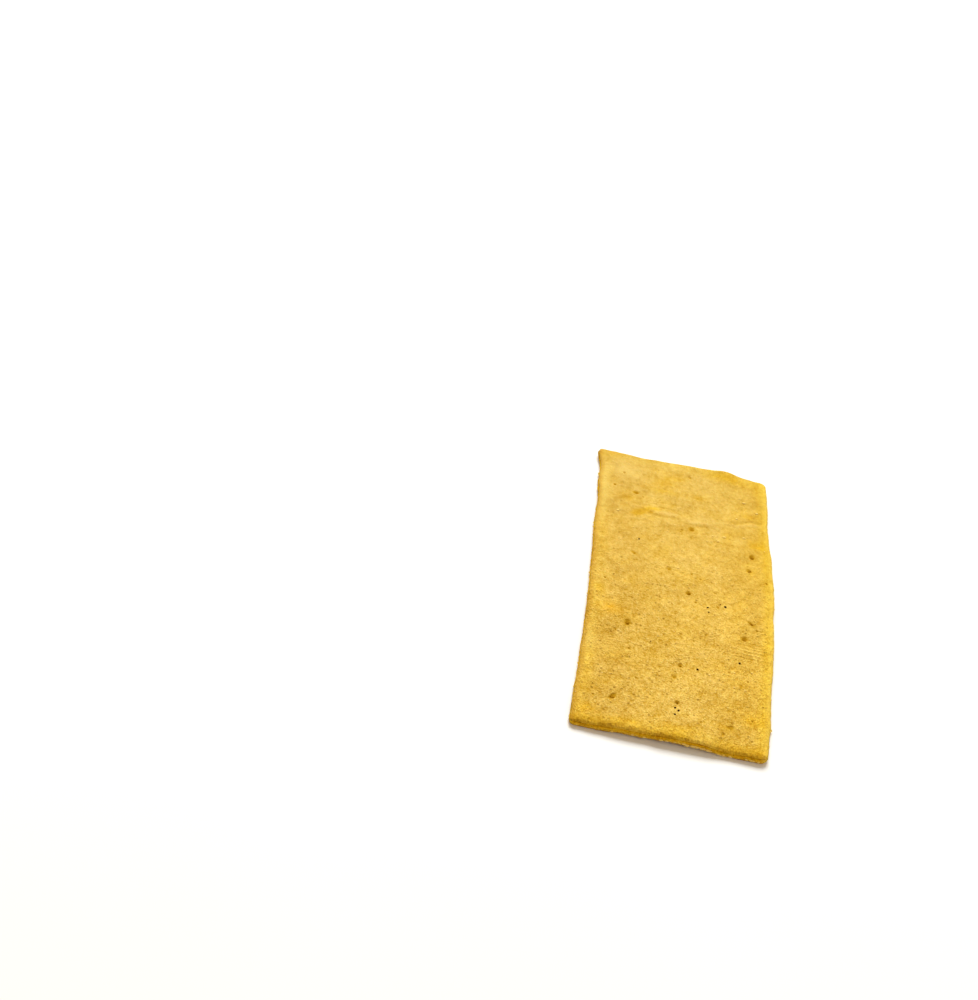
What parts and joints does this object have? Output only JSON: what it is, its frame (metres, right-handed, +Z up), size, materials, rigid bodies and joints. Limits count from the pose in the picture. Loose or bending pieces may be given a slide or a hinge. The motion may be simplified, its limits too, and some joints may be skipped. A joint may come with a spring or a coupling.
{
  "type": "spelt cracker",
  "caption": "Thin oblong baked spelt cracker with rounded rim, slightly bowed sides, a buckled far end and blind docking-pin marks in its sandy golden face.",
  "frame": {"origin": "under the middle of the cracker, on the plane it rests on", "axes": "+X across the cracker, +Y along it towards its buckled end, +Z up through its thickness"},
  "size_m": [0.0494, 0.1104, 0.0035],
  "materials": {
    "baked_dough": "matte"
  },
  "bodies": {
    "root": {"cracker": "baked_dough"}
  },
  "joints": []
}
